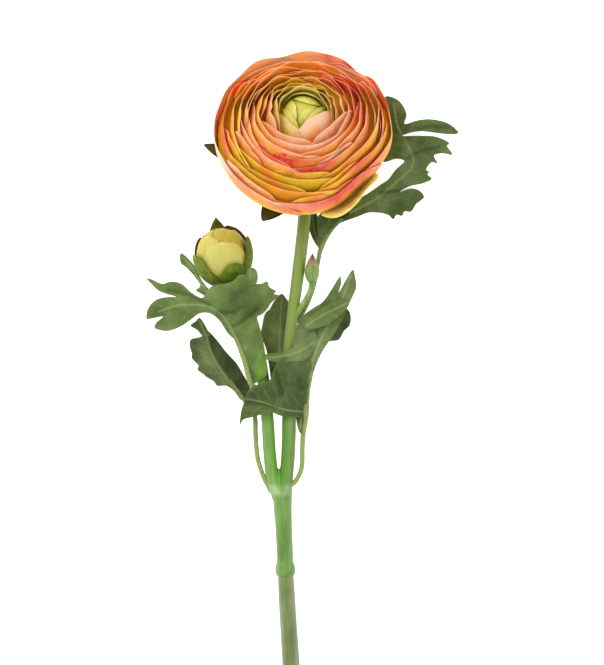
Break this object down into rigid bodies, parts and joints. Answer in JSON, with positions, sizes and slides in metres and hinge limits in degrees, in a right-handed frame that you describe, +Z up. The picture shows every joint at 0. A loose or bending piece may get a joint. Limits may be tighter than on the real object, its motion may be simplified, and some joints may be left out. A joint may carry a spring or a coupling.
{
  "type": "ranunculus flower spray",
  "caption": "Cut ranunculus spray lying on a surface: an open layered bloom, a bud, a small closed bud and toothed leaves on forked stems.",
  "frame": {"origin": "under the middle of the spray, on the surface that it lies on", "axes": "+Y from the cut end of the stem towards the bloom, +X to the right seen from above, +Z up from the surface"},
  "size_m": [0.1422, 0.3224, 0.0598],
  "materials": {
    "stem_grey": "matte",
    "stem_green": "satin",
    "petal": "matte",
    "heart": "matte",
    "sepal": "matte",
    "bud_petal": "matte",
    "small_bud": "satin",
    "leaf": "matte"
  },
  "bodies": {
    "root": {"stem_lower": "stem_grey", "stem_upper": "stem_green", "bloom_petals": "petal", "bloom_heart": "heart", "bloom_sepals": "sepal", "bud_petals": "bud_petal", "bud_sepals": "sepal", "small_bud": "small_bud", "leaf_upper_right": "leaf", "leaf_over_bud": "leaf", "leaf_low_left": "leaf", "leaf_centre_back": "leaf", "leaf_right": "leaf"}
  },
  "joints": []
}
